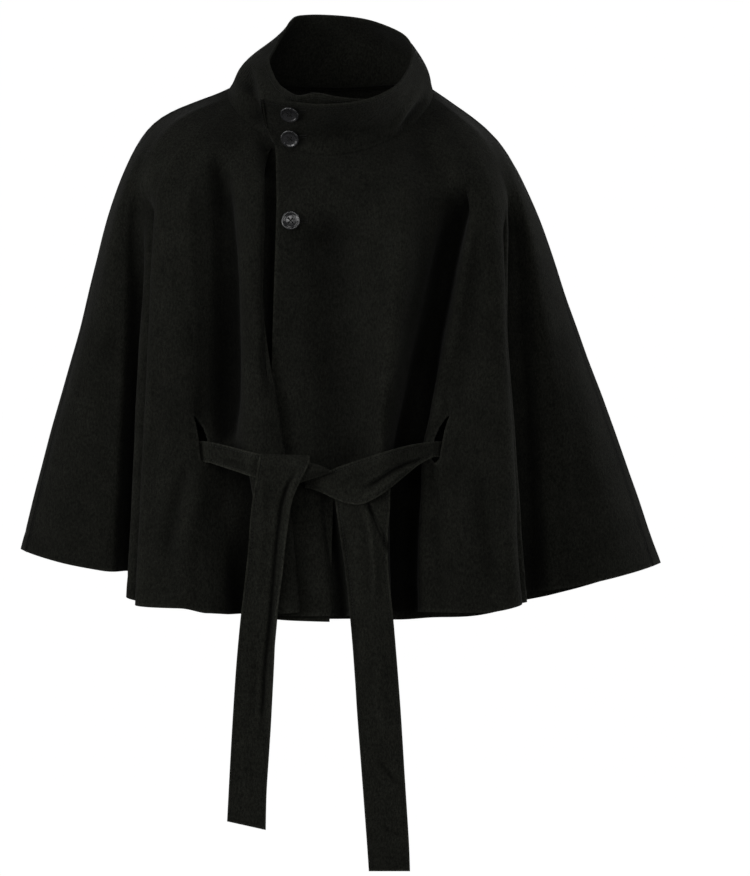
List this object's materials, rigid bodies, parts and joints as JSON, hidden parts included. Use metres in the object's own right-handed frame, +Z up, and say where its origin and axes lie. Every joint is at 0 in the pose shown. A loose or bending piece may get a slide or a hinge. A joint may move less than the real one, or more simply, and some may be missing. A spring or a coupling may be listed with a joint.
{
  "type": "belted wool cape coat, worn form",
  "caption": "Short flared wool cape coat with a high wrapped collar, overlapping buttoned front and a tie belt drawn through slits, hollow as worn.",
  "frame": {"origin": "middle of the neck at shoulder height, where the wearer's neck and shoulders hold the coat", "axes": "+Z up along the coat's length, -Y to the front, +X to the wearer's left"},
  "size_m": [0.7755, 0.3077, 1.0224],
  "materials": {
    "black_wool": "brushed, short-napped coating wool, nearly black",
    "belt_wool": "the same wool, pressed flat in two layers",
    "button_horn": "polished dark grey, imitation horn"
  },
  "bodies": {
    "root": {"collar": "black_wool", "left_front": "black_wool", "right_front": "black_wool", "back": "black_wool", "belt_right_stretch": "belt_wool", "belt_left_stretch": "belt_wool", "belt_right_tail": "belt_wool", "belt_left_tail": "belt_wool", "belt_inner": "belt_wool", "button_1": "button_horn", "button_2": "button_horn", "button_3": "button_horn"}
  },
  "joints": []
}
